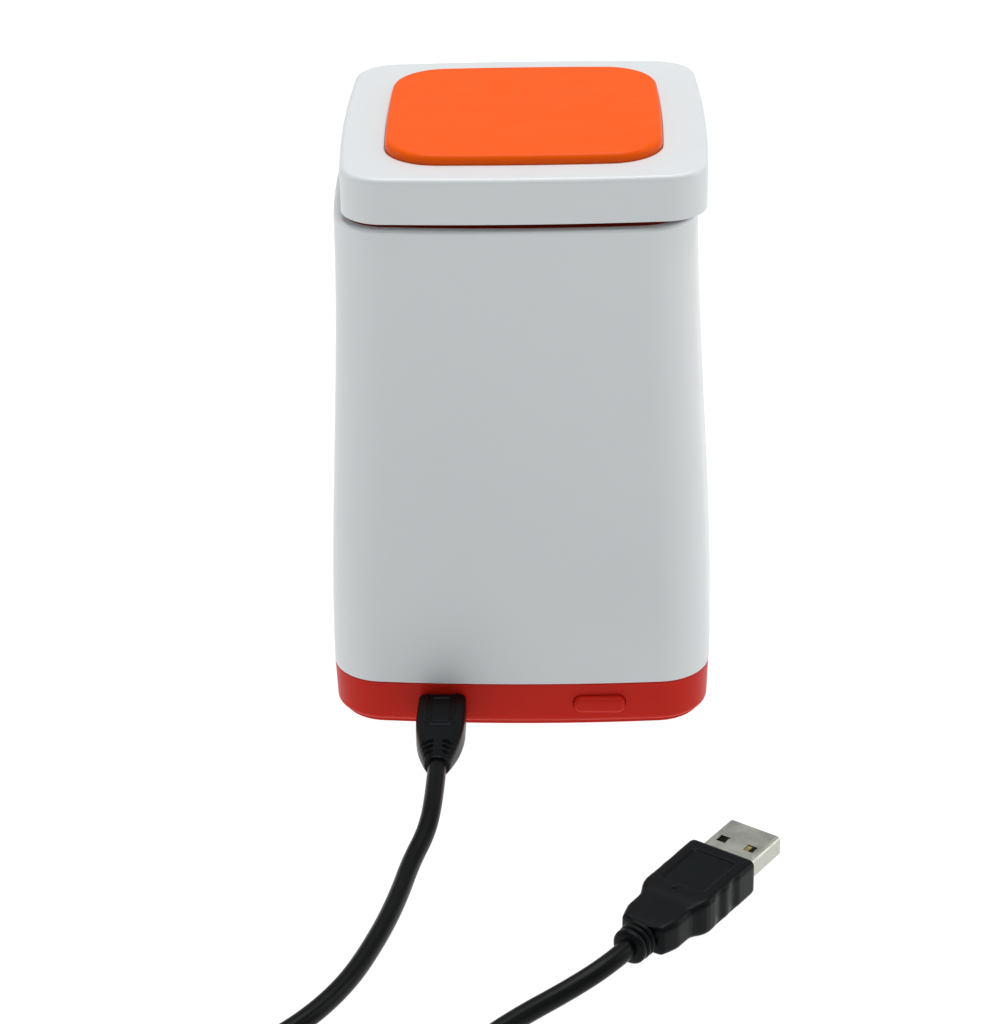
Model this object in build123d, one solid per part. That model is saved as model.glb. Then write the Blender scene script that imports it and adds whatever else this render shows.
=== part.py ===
from build123d import *
import math
import os

# Small square bin with a powered base.  Millimetres, +Z up, front towards -Y.
# Origin: centre of the footprint, on the surface that the bin stands on.

# ------------------------------------------------------------------ driving dimensions
# Case plan: a square whose sides bow out and whose corners are round.
seam_half = 42.5          # half width at the seam between tray and shell
tray_draft = 0.3          # the tray is this much narrower at its foot, each side
rim_half = 38.6           # half width at the rim of the shell
case_corner = 11.5        # plan radius of the case corners
case_bow = 2.0            # how far a side bows out over its corners
case_wall = 2.0

# Case heights
tray_bottom = 0.5         # underside of the plinth, above the surface
skirt_bottom = 1.5        # underside of the tray's outer wall
plinth_inset = 1.4
skirt_edge = 1.3          # rounding of the tray's lower edge
floor_top = 2.2
seam_z = 11.4
seam_bevel = 0.3          # on the tray's upper edge, which leaves a fine shadow line
rim_z = 115.25
rim_edge = 0.7
lip_height = 3.0          # tray lip that locates the shell
lip_root = 1.8
lip_wall = 1.35
slip_gap = 0.15           # between pieces that slide together once
loose_gap = 0.4           # between pieces that are lifted in and out

# Lid
lid_corner = 9.3
lid_bow = 1.45
lid_wall = 2.2
lid_roof = 2.2
lid_height = 9.7
lid_edge = 1.1
lid_lift = 1.55           # air gap between shell rim and lid skirt
lid_shift = 1.55          # the loose lid sits a little to one side
lid_turn = 0.98           # and is turned a little, degrees
pad_margin = 9.45         # from the lid's edge to the pad's
pad_corner = 11.6
pad_bow = 0.85
pad_proud = 2.1
pad_forward = 0.9         # the pad sits a little towards the front
pad_sunk = 0.8
pad_edge = 1.3
pad_gap = 0.2
pad_boss_radius = 2.6
lid_screw_inset = 9.15    # from the pad's edge to a screw
lid_screw_bite = 0.2      # how far a screw reaches above the lid's top
lid_screw_room = 0.5
lid_screw_radius = 1.1
seal_wall = 6.3
seal_height = 2.7
liner_height = 2.2

# Bucket
flange_reach = 3.0        # flange inside the case, from the case wall to the bucket
bucket_draft = 0.6
bucket_corner = 8.4
bucket_bow = 1.7
bucket_wall = 1.6
bucket_floor = 2.0
bucket_floor_edge = 2.0   # rounding under the bucket
bucket_clearance = 2.3    # over the filter's grille
flange_height = 1.8
flange_drop = 0.3         # top of the flange below the rim
ledge_height = 1.6
intake_count = 7
intake_width = 2.4
intake_height = 9.0
intake_pitch = 6.0
intake_drop = 4.0         # below the flange

# Deck, fan and filter
deck_bottom = 16.0
deck_height = 1.8
fan_x, fan_y = -8.0, 4.0
fan_size = 40.0
fan_height = 10.0
fan_corner = 3.0
fan_bore = 19.0
fan_bearing_wall = 1.4
fan_bearing_height = 6.0
fan_strut_count = 3
rotor_gap = 0.5           # rotor over the hub's floor
rotor_drop = 0.7          # rotor below the deck
rotor_wall = 1.0
fan_hole_inset = 4.0      # from the edge of the frame to a screw
fan_hole = 1.6
fan_hub = 10.0
fan_hub_floor = 1.2
fan_strut = 1.6
fan_shaft = 0.75
fan_running_gap = 0.05
blade_count = 7
blade_tip_gap = 0.8
blade_thick = 1.0
blade_tilt = 38.0
filter_half = 21.0
filter_height = 5.0
filter_frame_wall = 1.6
filter_seat_wall = 1.8
filter_step = 2.0
grille_height = 1.4
grille_count = 9
grille_width = 2.2
grille_border = 3.0

# Fasteners
case_screw_inset = 7.0    # from the inside of the shell to a screw
case_screw_radius = 1.25
case_screw_head = 2.4
case_screw_head_height = 1.8
case_screw_seat = 6.0
case_screw_reach = 6.2    # into the posts, above the deck
screw_tip_room = 0.5
boss_radius = 4.0
post_radius = 4.3
post_length = 9.2
fan_screw_radius = 1.25
fan_screw_head = 2.3
fan_screw_head_height = 1.5
board_screw_radius = 0.9
board_screw_head = 1.7
board_screw_head_height = 1.1
board_screw_inset = 3.0
screw_floor = 0.6         # left under a screw in the tray's floor
screw_gap = 0.05

# Board, socket, switch and button
board_half_x = 28.0
board_clearance = 0.35    # behind the pressed button
board_to_fan = 2.5
board_height = 1.2
port_x = -17.0
port_z = 5.8
socket_width = 7.6
socket_height = 2.6
socket_depth = 5.4
socket_shell = 0.25
socket_overhang = 2.0     # the socket stands this far over the board's front edge
tongue_root = 0.6
tongue_width = 3.6
tongue_height = 0.6
tongue_depth = 3.6
port_slot_width = 8.4
port_slot_height = 3.4
button_x = 17.3
button_z = 6.4
button_width = 11.2
button_height = 3.7
button_proud = 0.9
button_gap = 0.15
button_flange_extra = 0.9
button_flange_thick = 0.8
button_travel = 0.6
button_edge = 0.6
button_flange_corner = 1.2
switch_width = 6.0
switch_height = 3.5
switch_depth = 4.0
switch_setback = 1.0      # behind the board's front edge
plunger_width = 2.6
plunger_height = 1.4
plunger_depth = 1.6
plunger_proud = 0.9
plunger_play = 0.2
stem_extra = 0.3
chip_blocks = [            # middle X, distance behind the front edge, size X, size Y, height
    (-1.5, 9.1, 5.0, 5.0, 1.0), (7.0, 9.6, 4.0, 4.0, 2.0), (-10.5, 10.6, 3.0, 2.0, 1.2),
]
small_chip_count = 5
small_chip_pitch = 2.4
small_chip_x = -0.7
small_chip_size = (1.0, 0.5, 0.5)
small_chip_setback = 2.25
wire_socket_size = (6.0, 4.4, 3.4)
wire_socket_setback = 3.2
wire_socket_floor = 1.0
fan_socket_x = -6.0
battery_socket_x = 14.0
wire_pitch = 2.5
wire_grip = 2.0           # length of a wire inside its socket
wire_bend = 2.0

# Battery
battery_to_fan = 3.5
battery_y = 8.0
battery_size_x, battery_size_y, battery_size_z = 22.0, 39.0, 7.5
battery_corner = 2.0
battery_tape = 0.8
battery_rib = 1.2
battery_tape_inset = 2.5
battery_rib_height = 4.0

# Feet and vents
foot_inset = 16.2
foot_chamfer = 0.3
foot_radius = 4.0
foot_recess = 0.7
vent_count = 9
vent_pitch = 4.6
vent_width = 2.0
vent_height = 4.6
vent_z = 6.2

# Power lead
cord_diameter = 4.0
grip_width = 10.6
grip_height = 6.5
grip_gap = 0.46           # between the case and the plug's grip
grip_corner = 1.2
grip_straight = 16.0
grip_end_radius = 2.7
micro_shell_width = 6.85
micro_shell_height = 1.8
micro_shell_depth = 6.1
sheet_thick = 0.25
plug_heading = 55.8       # degrees from +X, looking down
plug_grip_width = 15.2
plug_grip_height = 8.0
plug_grip_length = 19.5
plug_grip_corner = 1.3
plug_neck_width = 11.8
plug_neck_height = 6.9
plug_neck_length = 8.5
plug_neck_corner = 1.4
relief_length = 6.5
relief_radius = 3.7
relief_core_radius = 2.7
relief_rings = 3
usb_width = 12.0
usb_height = 4.5
usb_length = 12.2
usb_sheet = 0.3
usb_root = 3.0            # length of the shell held inside the grip
usb_window = 2.2
usb_window_place = 3.2
usb_window_from_grip = 5.2
insert_height = 1.9
insert_setback = 0.6
insert_root = 1.6
contact_count = 4
contact_pitch = 2.25
contact_width = 1.1
contact_height = 0.2
contact_setback = 1.5
coil_x, coil_y = -37.0, -196.0
coil_turn_radii = (27.0, 23.0, 19.0)
coil_layers = 2
coil_edge = 1.5
coil_base = 0.6           # thickness of the tie that passes under the coil
tie_width = 8.0
tie_angle = -70.0
wire_radius = 0.6

lead_route = [
    (-17.0, -73.0, 5.8), (-17.0, -80.5, 5.8), (-17.9, -89.0, 4.1), (-20.9, -98.5, 2.4),
    (-22.6, -109.5, 2.0), (-25.4, -122.5, 2.0), (-30.6, -139.0, 2.0), (-38.6, -152.0, 2.0),
    (-47.6, -160.4, 2.0), (-55.4, -168.2, 2.1), (-61.2, -176.2, 2.4), (-64.0, -184.5, 2.6),
    (-64.0, -192.0, 2.6),
]
tail_route = [
    (-10.0, -192.0, 6.6), (-10.0, -183.5, 6.2), (-9.6, -174.5, 4.2), (-8.6, -165.8, 2.3),
    (-4.6, -156.6, 2.0), (2.4, -148.9, 2.0), (11.7, -140.9, 2.4), (19.2, -135.0, 4.0),
    (22.6, -130.0, 4.0),
]

# ------------------------------------------------------------------ worked-out places
ease_span = rim_z - seam_z
foot_half = seam_half - tray_draft
lid_half = rim_half       # the lid is flush with the case
pad_half = lid_half - pad_margin
lid_screw_place = pad_half - lid_screw_inset
foot_place = foot_half - foot_inset
fan_hole_place = fan_size / 2 - fan_hole_inset
bucket_top_half = rim_half - case_wall - flange_reach
bucket_floor_half = bucket_top_half - bucket_draft
shell_inner_at_seam = seam_half - case_wall
ledge_top = rim_z - flange_drop - flange_height
flange_top = rim_z - flange_drop
lid_bottom = rim_z + lid_lift
lid_top = lid_bottom + lid_height
lid_ceiling = lid_top - lid_roof
collar_top = lid_ceiling - seal_height
deck_top = deck_bottom + deck_height
post_top = deck_top + post_length
case_screw_tip = deck_top + case_screw_reach
fan_bottom = deck_bottom - fan_height
fan_front = fan_y - fan_size / 2
battery_x = fan_x + fan_size / 2 + battery_to_fan + battery_size_x / 2
board_top = port_z - socket_height / 2
board_bottom = board_top - board_height
filter_bottom = deck_top + filter_step
filter_top = filter_bottom + filter_height
bucket_bottom = filter_top + grille_height + bucket_clearance
cord_radius = cord_diameter / 2
coil_outer = max(coil_turn_radii) + cord_radius
coil_inner = min(coil_turn_radii) - cord_radius
coil_top = coil_base + coil_layers * cord_diameter
lid_frame = Pos(lid_shift, 0, 0) * Rot(0, 0, lid_turn)
pad_frame = lid_frame * Pos(0, -pad_forward, 0)
plug_start = tail_route[-1]
plug_frame = Pos(*plug_start) * Rot(0, 0, plug_heading)
corners = [(-1, -1), (1, -1), (1, 1), (-1, 1)]


def shell_half_at(z):
    """Half width of the shell: a gentle S from the seam up to the rim."""
    share = min(max((z - seam_z) / ease_span, 0.0), 1.0)
    return seam_half - (seam_half - rim_half) * share * share * (3 - 2 * share)


def case_face_y(x):
    """Outer face of the tray's foot, for a given X."""
    reach = foot_half - case_bow
    radius = (reach * reach + case_bow * case_bow) / (2 * case_bow)
    return -(foot_half - radius + math.sqrt(radius * radius - x * x))


case_screw_place = shell_half_at(deck_bottom) - case_wall - case_screw_inset
button_outer = case_face_y(button_x) - button_proud
button_inner = case_face_y(button_x + button_width / 2) + case_wall + loose_gap / 2
board_front = button_inner + button_flange_thick + button_travel + board_clearance
board_back = fan_front - board_to_fan
socket_front = board_front - socket_overhang
switch_front = board_front + switch_setback
grip_face = case_face_y(port_x) - grip_gap
grip_end = lead_route[0][1]


# ------------------------------------------------------------------ shared shapes
def bowed_square(half, corner, bow, z=0.0):
    """Flat outline with bowed sides and round corners, at height z."""
    reach = half - bow
    ends = [(sx * reach, sy * reach) for sx, sy in corners]
    middles = [(0, -half), (half, 0), (0, half), (-half, 0)]
    sides = [ThreePointArc(ends[i], middles[i], ends[(i + 1) % 4]) for i in range(4)]
    outline = make_face(sides)
    return Pos(0, 0, z) * fillet(outline.vertices(), corner)


def slab(half, corner, bow, bottom, top):
    return extrude(bowed_square(half, corner, bow, bottom), amount=top - bottom)


def block(x0, x1, y0, y1, z0, z1):
    middle = Pos((x0 + x1) / 2, (y0 + y1) / 2, (z0 + z1) / 2)
    return middle * Box(x1 - x0, y1 - y0, z1 - z0)


def rod(x, y, radius, bottom, top):
    return Pos(x, y, (bottom + top) / 2) * Cylinder(radius, top - bottom)


def at_corners(place, radius, bottom, top, x=0.0, y=0.0):
    return [rod(x + sx * place, y + sy * place, radius, bottom, top) for sx, sy in corners]


def rounded_bar(width, height, length, corner):
    """Bar along +Y with a rounded-rectangle section, starting at the origin."""
    section = Plane.XZ * RectangleRounded(width, height, corner)
    return extrude(section, amount=-length)


def lofted_case(inset, bottom, top, levels=5):
    heights = [seam_z + ease_span * i / (levels - 1) for i in range(levels)]
    heights[0] = bottom
    heights[-1] = top
    sections = [bowed_square(shell_half_at(z) - inset, case_corner - inset, case_bow, z) for z in heights]
    return loft(sections)


def screw(x, y, shank, head, head_low, head_high, tip):
    """Pan-head screw along Z with a cross recess in its head."""
    outward = 1 if head_high > tip else -1
    outer_face = head_high if outward > 0 else head_low
    seat = head_low if outward > 0 else head_high
    body = rod(x, y, head, head_low, head_high) + rod(x, y, shank, min(seat, tip), max(seat, tip))
    recess_depth = (head_high - head_low) * 0.5
    low = min(outer_face, outer_face - outward * recess_depth)
    high = max(outer_face, outer_face - outward * recess_depth)
    arm = head * 0.6
    slot = head * 0.15
    body -= block(x - arm, x + arm, y - slot, y + slot, low, high)
    body -= block(x - slot, x + slot, y - arm, y + arm, low, high)
    return body


# ------------------------------------------------------------------ case
def base_tray():
    wall = loft([
        bowed_square(foot_half, case_corner, case_bow, skirt_bottom),
        bowed_square(seam_half, case_corner, case_bow, seam_z - seam_bevel),
        bowed_square(seam_half - seam_bevel, case_corner - seam_bevel, case_bow, seam_z),
    ], ruled=True)
    wall = fillet(wall.faces().sort_by(Axis.Z)[0].edges(), skirt_edge)
    plinth_half = foot_half - plinth_inset
    tray = wall + slab(plinth_half, case_corner - plinth_inset, case_bow, tray_bottom, floor_top)
    tray -= slab(foot_half - case_wall, case_corner - case_wall, case_bow, floor_top, seam_z + 1)
    lip_half = shell_inner_at_seam - slip_gap
    lip_corner = case_corner - case_wall - slip_gap
    band = slab(lip_half + case_wall / 2, lip_corner, case_bow, seam_z - lip_root, seam_z)
    band += slab(lip_half, lip_corner, case_bow, seam_z, seam_z + lip_height)
    band -= slab(lip_half - lip_wall, lip_corner - lip_wall, case_bow, 0, seam_z + 2 * lip_height)
    tray += band
    for boss in at_corners(case_screw_place, boss_radius, floor_top - 1, deck_bottom):
        tray += boss
    for post in at_corners(fan_hole_place, fan_screw_head, floor_top - 1, fan_bottom, fan_x, fan_y):
        tray += post
    for post in board_places(board_screw_head, floor_top - 1, board_bottom):
        tray += post
    ribs = battery_box(battery_rib, floor_top - 0.5, floor_top + battery_rib_height)
    ribs -= battery_box(slip_gap, floor_top - 1, floor_top + battery_rib_height + 1)
    tray += ribs
    for hole in at_corners(case_screw_place, case_screw_radius + slip_gap, 0, deck_bottom + 1):
        tray -= hole
    for hole in at_corners(case_screw_place, case_screw_head + slip_gap, 0, case_screw_seat):
        tray -= hole
    thread = fan_screw_radius + screw_gap
    for hole in at_corners(fan_hole_place, thread, floor_top, fan_bottom + 1, fan_x, fan_y):
        tray -= hole
    for hole in board_places(board_screw_radius + screw_gap, tray_bottom + screw_floor, board_bottom + 1):
        tray -= hole
    for hole in at_corners(foot_place, foot_radius, 0, tray_bottom + foot_recess):
        tray -= hole
    port = RectangleRounded(port_slot_width, port_slot_height, port_slot_height * 0.45)
    tray -= extrude(Plane.XZ.offset(seam_half + 2) * Pos(port_x, port_z) * port, amount=-8)
    hole = RectangleRounded(
        button_width + 2 * button_gap, button_height + 2 * button_gap, button_height * 0.45
    )
    tray -= extrude(Plane.XZ.offset(seam_half + 2) * Pos(button_x, button_z) * hole, amount=-8)
    for i in range(vent_count):
        x = (i - (vent_count - 1) / 2) * vent_pitch
        slot = RectangleRounded(vent_width, vent_height, vent_width * 0.45)
        tray -= extrude(Plane.XZ.offset(-seam_half - 2) * Pos(x, vent_z) * slot, amount=8)
    return tray


def board_screw_places():
    reach = board_half_x - board_screw_inset
    ys = (board_front + board_screw_inset, board_back - board_screw_inset)
    return [(x, y) for x in (-reach, reach) for y in ys]


def board_places(radius, bottom, top):
    return [rod(x, y, radius, bottom, top) for x, y in board_screw_places()]


def battery_box(extra, bottom, top):
    half_x = battery_size_x / 2 + extra
    half_y = battery_size_y / 2 + extra
    return block(battery_x - half_x, battery_x + half_x, battery_y - half_y, battery_y + half_y, bottom, top)


def body_shell():
    outer = lofted_case(0.0, seam_z, rim_z)
    outer = fillet(outer.faces().sort_by(Axis.Z)[-1].edges(), rim_edge)
    shell = outer - lofted_case(case_wall, seam_z - 1, rim_z + 1)
    ledge_half = shell_half_at(ledge_top) - case_wall
    ledge_corner = case_corner - case_wall
    ledge = slab(ledge_half + case_wall / 2, ledge_corner, case_bow, ledge_top - ledge_height, ledge_top)
    ledge -= slab(
        bucket_top_half + loose_gap, bucket_corner + loose_gap, bucket_bow,
        ledge_top - 2 * ledge_height, rim_z,
    )
    shell += ledge
    for post in at_corners(case_screw_place, post_radius, deck_top, post_top):
        shell += post & outer
    thread = case_screw_radius + screw_gap
    for hole in at_corners(case_screw_place, thread, deck_top - 1, case_screw_tip + screw_tip_room):
        shell -= hole
    return shell


def rubber_feet():
    feet = []
    for foot in at_corners(foot_place, foot_radius - slip_gap, 0, tray_bottom + foot_recess):
        feet.append(chamfer(foot.edges().sort_by(Axis.Z)[0], foot_chamfer))
    return feet


def case_screws():
    low = case_screw_seat - case_screw_head_height
    high = case_screw_seat
    places = [(sx * case_screw_place, sy * case_screw_place) for sx, sy in corners]
    return [screw(x, y, case_screw_radius, case_screw_head, low, high, case_screw_tip) for x, y in places]


def deck_plate():
    half = shell_half_at(deck_bottom) - case_wall - 2 * slip_gap
    deck = slab(half, case_corner - case_wall, case_bow, deck_bottom, deck_top)
    seat_half = filter_half + slip_gap
    seat_top = filter_top
    deck += filter_ring(seat_half + filter_seat_wall, deck_top - 0.5, seat_top)
    deck -= filter_ring(seat_half, filter_bottom, seat_top + 1)
    deck -= filter_ring(filter_half - filter_seat_wall, deck_top, filter_bottom + 1)
    deck -= rod(fan_x, fan_y, fan_bore, deck_bottom - 1, deck_top + 1)
    for hole in at_corners(case_screw_place, case_screw_radius + slip_gap, deck_bottom - 1, deck_top + 1):
        deck -= hole
    for hole in at_corners(fan_hole_place, fan_hole, deck_bottom - 1, deck_top + 1, fan_x, fan_y):
        deck -= hole
    return deck


def filter_ring(half, bottom, top):
    return block(fan_x - half, fan_x + half, fan_y - half, fan_y + half, bottom, top)


# ------------------------------------------------------------------ fan and filter
def fan_frame():
    plate = Pos(fan_x, fan_y, fan_bottom) * RectangleRounded(fan_size, fan_size, fan_corner)
    frame = extrude(plate, amount=fan_height)
    frame -= rod(fan_x, fan_y, fan_bore, fan_bottom - 1, deck_bottom + 1)
    for hole in at_corners(fan_hole_place, fan_hole, fan_bottom - 1, deck_bottom + 1, fan_x, fan_y):
        frame -= hole
    hub = rod(0, 0, fan_hub, fan_bottom, fan_bottom + fan_hub_floor)
    hub += rod(0, 0, fan_shaft + fan_bearing_wall, fan_bottom, fan_bottom + fan_bearing_height)
    strut_top = fan_bottom + fan_hub_floor
    for i in range(fan_strut_count):
        strut = block(0, fan_bore + 0.5, -fan_strut / 2, fan_strut / 2, fan_bottom, strut_top)
        hub += Rot(0, 0, 30 + 360 / fan_strut_count * i) * strut
    hub -= rod(0, 0, fan_shaft + fan_running_gap, fan_bottom - 1, deck_bottom)
    return frame + Pos(fan_x, fan_y, 0) * hub


def fan_rotor():
    low = fan_bottom + fan_hub_floor + rotor_gap
    high = deck_bottom - rotor_drop
    cup_radius = fan_hub - rotor_gap
    rotor = rod(0, 0, cup_radius, low, high)
    rotor -= rod(0, 0, cup_radius - rotor_wall, low - 1, high - rotor_wall)
    rotor += rod(0, 0, fan_shaft, fan_bottom + loose_gap, high - rotor_wall / 2)
    tip = fan_bore - blade_tip_gap
    middle = (low + high) / 2
    inside = rod(0, 0, tip, low, high) - rod(0, 0, cup_radius - 0.3, low - 1, high + 1)
    blade = Pos(tip / 2, 0, middle) * Rot(blade_tilt, 0, 0) * Box(tip + 2, fan_hub, blade_thick)
    blade = blade & inside
    for i in range(blade_count):
        rotor += Rot(0, 0, 360 / blade_count * i) * blade
    return Pos(fan_x, fan_y, 0) * rotor


def fan_screws():
    places = [(fan_x + sx * fan_hole_place, fan_y + sy * fan_hole_place) for sx, sy in corners]
    high = deck_top + fan_screw_head_height
    tip = floor_top + screw_floor
    return [screw(x, y, fan_screw_radius, fan_screw_head, deck_top, high, tip) for x, y in places]


def filter_frame():
    ring = filter_ring(filter_half, filter_bottom, filter_top)
    return ring - filter_ring(filter_half - filter_frame_wall, filter_bottom - 1, filter_top + 1)


def filter_foam():
    half = filter_half - filter_frame_wall
    return filter_ring(half, filter_bottom, filter_top)


def filter_grille():
    half = filter_half + slip_gap + filter_seat_wall
    cover = filter_ring(half, filter_top, filter_top + grille_height)
    span = 2 * (filter_half - grille_border)
    pitch = span / grille_count
    for i in range(grille_count):
        x = fan_x + (i - (grille_count - 1) / 2) * pitch
        cover -= block(
            x - grille_width / 2, x + grille_width / 2, fan_y - span / 2, fan_y + span / 2,
            filter_top - 1, filter_top + grille_height + 1,
        )
    return cover


# ------------------------------------------------------------------ electronics
def main_board():
    board = block(-board_half_x, board_half_x, board_front, board_back, board_bottom, board_top)
    for hole in board_places(board_screw_radius + slip_gap, board_bottom - 1, board_top + 1):
        board -= hole
    return board


def board_screws():
    high = board_top + board_screw_head_height
    tip = tray_bottom + screw_floor + slip_gap
    places = board_screw_places()
    return [screw(x, y, board_screw_radius, board_screw_head, board_top, high, tip) for x, y in places]


def board_chips():
    blocks = list(chip_blocks)
    for i in range(small_chip_count):
        x = small_chip_x + (i - (small_chip_count - 1) / 2) * small_chip_pitch
        blocks.append((x, small_chip_setback, *small_chip_size))
    chips = []
    for x, setback, size_x, size_y, height in blocks:
        y = board_front + setback
        reach_x, reach_y = size_x / 2, size_y / 2
        chips.append(block(x - reach_x, x + reach_x, y - reach_y, y + reach_y, board_top, board_top + height))
    return chips


def wire_sockets():
    size_x, size_y, height = wire_socket_size
    y = board_back - wire_socket_setback
    top = board_top + height
    sockets = []
    for x in (fan_socket_x, battery_socket_x):
        socket = block(x - size_x / 2, x + size_x / 2, y - size_y / 2, y + size_y / 2, board_top, top)
        for sx in (-1, 1):
            socket -= rod(x + sx * wire_pitch / 2, y, wire_radius, board_top + wire_socket_floor, top + 1)
        sockets.append(socket)
    return sockets


def usb_socket():
    low = port_z - socket_height / 2
    back = socket_front + socket_depth
    body = block(
        port_x - socket_width / 2, port_x + socket_width / 2, socket_front, back, low, low + socket_height
    )
    body = fillet(body.edges().filter_by(Axis.Y), 0.6)
    body -= block(
        port_x - socket_width / 2 + socket_shell, port_x + socket_width / 2 - socket_shell,
        socket_front - 1, back - 2 * socket_shell, low + socket_shell, low + socket_height - socket_shell,
    )
    return body


def usb_socket_tongue():
    back = socket_front + socket_depth - 2 * socket_shell
    half = tongue_width / 2
    low = port_z - tongue_height / 2
    tongue = block(port_x - half, port_x + half, back - tongue_depth, back, low, low + tongue_height)
    root_half = socket_width / 2 - 2 * socket_shell
    root_high = socket_height / 2 - 2 * socket_shell
    root = block(
        port_x - root_half, port_x + root_half, back - tongue_root, back,
        port_z - root_high, port_z + root_high,
    )
    return tongue + root


def switch_axis_z():
    return board_top + switch_height / 2


def tact_switch():
    half = switch_width / 2
    back = switch_front + switch_depth
    body = block(button_x - half, button_x + half, switch_front, back, board_top, board_top + switch_height)
    wide = plunger_width / 2 + slip_gap
    high = plunger_height / 2 + slip_gap
    middle = switch_axis_z()
    body -= block(
        button_x - wide, button_x + wide, switch_front - 1, switch_front + plunger_depth + button_travel,
        middle - high, middle + high,
    )
    return body


def switch_plunger():
    wide = plunger_width / 2
    high = plunger_height / 2
    middle = switch_axis_z()
    return block(
        button_x - wide, button_x + wide, switch_front - plunger_proud,
        switch_front + plunger_depth - plunger_play, middle - high, middle + high,
    )


def button_cap():
    cap = Pos(button_x, button_outer, button_z) * rounded_bar(
        button_width, button_height, button_inner - button_outer, button_height * 0.45
    )
    cap = fillet(cap.faces().sort_by(Axis.Y)[0].edges(), button_edge)
    flange = Pos(button_x, button_inner, button_z) * rounded_bar(
        button_width + 2 * button_flange_extra, button_height + 2 * button_flange_extra,
        button_flange_thick, button_flange_corner,
    )
    stem_start = button_inner + button_flange_thick / 2
    wide = plunger_width / 2 + stem_extra
    high = plunger_height / 2 + stem_extra
    middle = switch_axis_z()
    stem = block(
        button_x - wide, button_x + wide, stem_start, switch_front - plunger_proud,
        middle - high, middle + high,
    )
    return cap + flange + stem


def battery_cell():
    low = floor_top + battery_tape
    cell = battery_box(0.0, low, low + battery_size_z)
    return fillet(cell.edges().filter_by(Axis.Y), battery_corner)


def battery_pad():
    return battery_box(-battery_tape_inset, floor_top, floor_top + battery_tape)


def wire_pair(points):
    """Two round wires side by side along one route."""
    wires = []
    for shift in (-wire_pitch / 2, wire_pitch / 2):
        route = [(x + shift, y, z) for x, y, z in points]
        path = FilletPolyline(*route, radius=wire_bend)
        start = Vector(*route[0])
        section = Plane(origin=start, z_dir=Vector(*route[1]) - start) * Circle(wire_radius)
        wires.append(sweep(section, path=path))
    return wires


def battery_lead():
    x, y = battery_socket_x, board_back - wire_socket_setback
    end_x = battery_x - battery_size_x / 4
    end_y = battery_y - battery_size_y / 2
    turn_y = end_y - 2 * wire_bend - wire_radius
    top = board_top + wire_socket_size[2]
    high = top + 2 * wire_bend
    level = floor_top + battery_tape + battery_size_z / 2
    points = [
        (x, y, top - wire_grip), (x, y, high), (end_x, turn_y, high), (end_x, turn_y, level),
        (end_x, end_y, level),
    ]
    return wire_pair(points)


def fan_lead():
    x, y = fan_socket_x, board_back - wire_socket_setback
    top = board_top + wire_socket_size[2]
    high = top + 2 * wire_bend
    points = [(x, y, top - wire_grip), (x, y, high), (x, fan_front, high)]
    return wire_pair(points)


# ------------------------------------------------------------------ bucket
def bin_bucket():
    body = loft([
        bowed_square(bucket_floor_half, bucket_corner, bucket_bow, bucket_bottom),
        bowed_square(bucket_top_half, bucket_corner, bucket_bow, ledge_top),
    ], ruled=True)
    body = fillet(body.faces().sort_by(Axis.Z)[0].edges(), bucket_floor_edge)
    body += slab(bucket_top_half, bucket_corner, bucket_bow, ledge_top, collar_top)
    flange_half = shell_half_at(flange_top) - case_wall - loose_gap
    body += slab(flange_half, case_corner - case_wall - loose_gap, case_bow, ledge_top, flange_top)
    inner_corner = bucket_corner - bucket_wall
    hollow = loft([
        bowed_square(bucket_floor_half - bucket_wall, inner_corner, bucket_bow, bucket_bottom + bucket_floor),
        bowed_square(bucket_top_half - bucket_wall, inner_corner, bucket_bow, ledge_top),
    ], ruled=True)
    hollow += slab(bucket_top_half - bucket_wall, inner_corner, bucket_bow, ledge_top, collar_top + 1)
    bucket = body - hollow
    top = ledge_top - intake_drop
    for i in range(intake_count):
        place = (i - (intake_count - 1) / 2) * intake_pitch
        low = place - intake_width / 2
        high = place + intake_width / 2
        bucket -= block(low, high, -seam_half, seam_half, top - intake_height, top)
    return bucket


# ------------------------------------------------------------------ lid
def lid_shell():
    outer = slab(lid_half, lid_corner, lid_bow, lid_bottom, lid_top)
    outer = fillet(outer.faces().sort_by(Axis.Z)[-1].edges(), lid_edge)
    shell = outer - slab(
        lid_half - lid_wall, lid_corner - lid_wall, lid_bow, lid_bottom - 1, lid_ceiling
    )
    recess = slab(pad_half + pad_gap, pad_corner, pad_bow, lid_top - pad_sunk, lid_top + 1)
    shell -= Pos(0, -pad_forward, 0) * recess
    for hole in at_corners(lid_screw_place, pad_boss_radius + slip_gap, lid_ceiling - 1, lid_top):
        shell -= Pos(0, -pad_forward, 0) * hole
    return lid_frame * shell


def lid_pad():
    pad = slab(pad_half, pad_corner, pad_bow, lid_top - pad_sunk, lid_top + pad_proud)
    pad = fillet(pad.faces().sort_by(Axis.Z)[-1].edges(), pad_edge)
    for boss in at_corners(lid_screw_place, pad_boss_radius, lid_ceiling, lid_top):
        pad += boss
    thread = lid_screw_radius + screw_gap
    for hole in at_corners(lid_screw_place, thread, lid_ceiling - 1, lid_top + lid_screw_room):
        pad -= hole
    return pad_frame * pad


def lid_liner():
    half = lid_half - lid_wall - seal_wall - 2 * slip_gap
    liner = slab(half, lid_corner - lid_wall, lid_bow, lid_ceiling - liner_height, lid_ceiling)
    for hole in at_corners(lid_screw_place, lid_screw_radius + slip_gap, lid_bottom, lid_top):
        liner -= Pos(0, -pad_forward, 0) * hole
    return lid_frame * liner


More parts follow.
